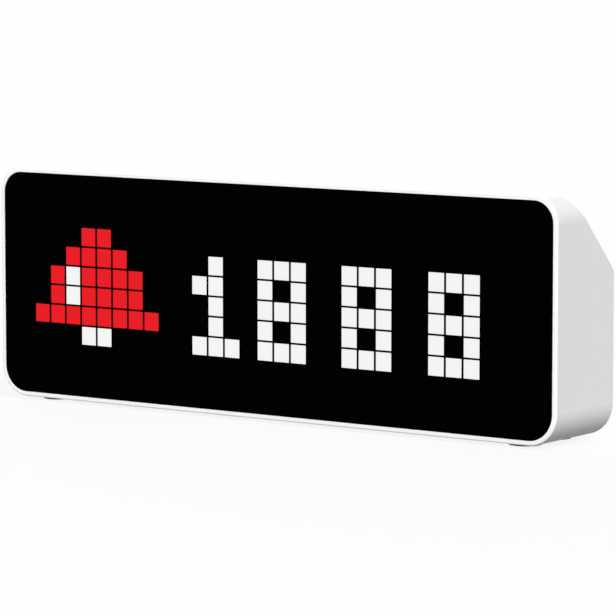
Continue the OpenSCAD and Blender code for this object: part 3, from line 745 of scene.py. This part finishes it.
class CLOCK_OT_boards(bpy.types.Operator):
    """Finishes the boards and what stands on them"""

    bl_idname = "pixel_clock.boards"
    bl_label = "Boards"

    def execute(self, context):
        colours = context.scene.clock_colours
        dress(circuit_board("board_black", colours.mask_black), "matrix_board")
        dress(circuit_board("board_green", colours.mask_green), "main_board", "key_board")
        dress(moulded("chip_black", colours.black_plastic, grain=0.0002, rough=0.55),
              "light_sensor", "link_header", "link_socket", "buzzer", "temperature_sensor",
              "board_chips", "switch_bodies")
        dress(moulded("connector_cream", colours.cream_plastic, rough=0.5),
              "battery_connector", "ribbon_connector")
        dress(moulded("plunger_grey", colours.grey_plastic, rough=0.4),
              *(f"switch_plunger_{side}" for side in SIDES))
        dress(drawn_metal("can_metal", colours.steel, along=0, rough=0.35), "radio_module")
        dress(ribbon("ribbon_film", colours.film, colours.copper), "key_ribbon")
        return {"FINISHED"}


class CLOCK_OT_screws(bpy.types.Operator):
    """Finishes the screws"""

    bl_idname = "pixel_clock.screws"
    bl_label = "Screws"

    def execute(self, context):
        dress(drawn_metal("screw_steel", context.scene.clock_colours.steel, along=2, rough=0.32),
              "grid_screws", "main_board_screws", "key_board_screws")
        return {"FINISHED"}


class CLOCK_OT_battery(bpy.types.Operator):
    """Finishes the battery cells, their strips, leads and pads"""

    bl_idname = "pixel_clock.battery"
    bl_label = "Battery"

    def execute(self, context):
        colours = context.scene.clock_colours
        dress(shrink_film("cell_wrap", colours.wrap), "battery_cell_left", "battery_cell_right")
        dress(drawn_metal("strip_nickel", colours.nickel, along=0, rough=0.3), "battery_tabs")
        dress(lead_jackets("lead_jacket", colours.jacket_black, colours.jacket_red), "battery_leads")
        dress(open_foam("pad_foam", colours.foam), "battery_pads")
        return {"FINISHED"}


class CLOCK_OT_stage(bpy.types.Operator):
    """Sets out the floor, the light and the camera"""

    bl_idname = "pixel_clock.stage"
    bl_label = "Stage"

    # The floor lies this far under the feet, so that their faces don't coincide
    FLOOR_DROP = 0.00002
    # How far the camera sees
    SIGHT = 100.0
    # Where each lamp stands, seen from the clock, and how wide it looks
    FRONT_LAMP = {"towards": (0.15, -1.0, 0.12), "degrees": 12}
    SIDE_LAMP = {"towards": (0.78, -0.25, 0.68), "degrees": 40}
    REAR_LAMP = {"towards": (-0.6, 0.7, 0.3), "degrees": 36}

    def execute(self, context):
        stage = context.scene.clock_stage
        context.scene.view_settings.view_transform = "Standard"
        self.add_camera(context.scene, stage)
        self.add_floor(context.scene, stage)
        self.light_world(context.scene, stage)
        self.add_sun(context.scene, "front_lamp", stage.front_light, **self.FRONT_LAMP)
        self.add_sun(context.scene, "side_lamp", stage.side_light, **self.SIDE_LAMP)
        self.add_sun(context.scene, "rear_lamp", stage.rear_light, **self.REAR_LAMP)
        return {"FINISHED"}

    def add_camera(self, scene, stage):
        """Camera at the photograph's viewing angle."""
        data = bpy.data.cameras.new("camera")
        data.lens = stage.focal
        data.clip_end = self.SIGHT
        camera = bpy.data.objects.new("camera", data)
        scene.collection.objects.link(camera)
        level = math.cos(stage.elevation)
        away = Vector((
            math.sin(stage.azimuth) * level, -math.cos(stage.azimuth) * level, math.sin(stage.elevation)))
        aim = Vector((stage.aim_right, LENS_LOW.y, stage.aim_up))
        camera.location = aim + away * stage.distance
        camera.rotation_euler = (-away).to_track_quat("-Z", "Y").to_euler()
        scene.camera = camera

    def add_floor(self, scene, stage):
        """Pale floor: white to the camera, with a part of the clock's shadow, and grey to the clock."""
        bm = bmesh.new()
        bmesh.ops.create_grid(bm, x_segments=1, y_segments=1, size=stage.floor_size / 2)
        bmesh.ops.translate(bm, verts=bm.verts, vec=(0, 0, CAD_BOX[0].z - self.FLOOR_DROP))
        mesh = bpy.data.meshes.new("floor")
        bm.to_mesh(mesh)
        bm.free()
        floor = bpy.data.objects.new("floor", mesh)
        scene.collection.objects.link(floor)
        material, start = new_finish("floor")
        shown = seen_directly(start)
        paint = blend_colours(start, shown, rgba(stage.floor_bounce), rgba(stage.floor_shown))
        lit = start.node("ShaderNodeBsdfDiffuse", sockets={"Color": paint})
        white = start.node("ShaderNodeEmission", sockets={"Color": WHITE, "Strength": 1.0})
        share = shown * (1 - stage.shadow_kept)
        mixed = start.node("ShaderNodeMixShader", sockets={0: share, 1: lit, 2: white})
        start.node("ShaderNodeOutputMaterial", sockets={"Surface": mixed})
        mesh.materials.append(material)

    def light_world(self, scene, stage):
        """Even light all round, which the camera and reflections see as white."""
        world = bpy.data.worlds.new("studio")
        world.use_nodes = True
        world.node_tree.nodes.clear()
        start = Shade(world.node_tree)
        even = start.node("ShaderNodeBackground", sockets={"Color": WHITE, "Strength": stage.ambient})
        white = start.node("ShaderNodeBackground", sockets={"Color": WHITE, "Strength": 1.0})
        mixed = start.node("ShaderNodeMixShader", sockets={0: seen_directly(start), 1: even, 2: white})
        start.node("ShaderNodeOutputWorld", sockets={"Surface": mixed})
        scene.world = world

    def add_sun(self, scene, name, energy, towards, degrees):
        """A soft lamp far away in that direction."""
        data = bpy.data.lights.new(name, "SUN")
        data.energy = energy
        data.angle = math.radians(degrees)
        lamp = bpy.data.objects.new(name, data)
        scene.collection.objects.link(lamp)
        lamp.rotation_euler = (-Vector(towards)).to_track_quat("-Z", "Y").to_euler()


GROUPS = {"clock_sizes": ClockSizes, "clock_colours": ClockColours, "clock_stage": ClockStage}
OPERATORS = (
    CLOCK_OT_stage, CLOCK_OT_housing, CLOCK_OT_front_lens, CLOCK_OT_lit_cells, CLOCK_OT_keys,
    CLOCK_OT_feet, CLOCK_OT_charge_port, CLOCK_OT_light_stack, CLOCK_OT_boards, CLOCK_OT_screws,
    CLOCK_OT_battery,
)


class CLOCK_PT_panel(bpy.types.Panel):
    """Lists the clock's operators, sizes, colours and stage"""

    bl_idname = "CLOCK_PT_panel"
    bl_label = "Pixel Clock"
    bl_space_type = "VIEW_3D"
    bl_region_type = "UI"
    bl_category = "Pixel Clock"

    def draw(self, context):
        for operator in OPERATORS:
            self.layout.operator(operator.bl_idname)
        for name, group in GROUPS.items():
            box = self.layout.box()
            for value in group.__annotations__:
                box.prop(getattr(context.scene, name), value)


CLASSES = (*GROUPS.values(), *OPERATORS, CLOCK_PT_panel)


def register():
    """Adds the clock's classes and settings to Blender."""
    for added in CLASSES:
        bpy.utils.register_class(added)
    for name, group in GROUPS.items():
        setattr(bpy.types.Scene, name, PointerProperty(type=group))


def unregister():
    """Takes the clock's settings and classes away again."""
    for name in GROUPS:
        delattr(bpy.types.Scene, name)
    for added in reversed(CLASSES):
        bpy.utils.unregister_class(added)


def main():
    """Registers the add-on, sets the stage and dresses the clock."""
    register()
    bpy.ops.pixel_clock.stage()
    bpy.ops.pixel_clock.housing()
    bpy.ops.pixel_clock.front_lens()
    bpy.ops.pixel_clock.lit_cells()
    bpy.ops.pixel_clock.keys()
    bpy.ops.pixel_clock.feet()
    bpy.ops.pixel_clock.charge_port()
    bpy.ops.pixel_clock.light_stack()
    bpy.ops.pixel_clock.boards()
    bpy.ops.pixel_clock.screws()
    bpy.ops.pixel_clock.battery()


if __name__ == "__main__":
    main()
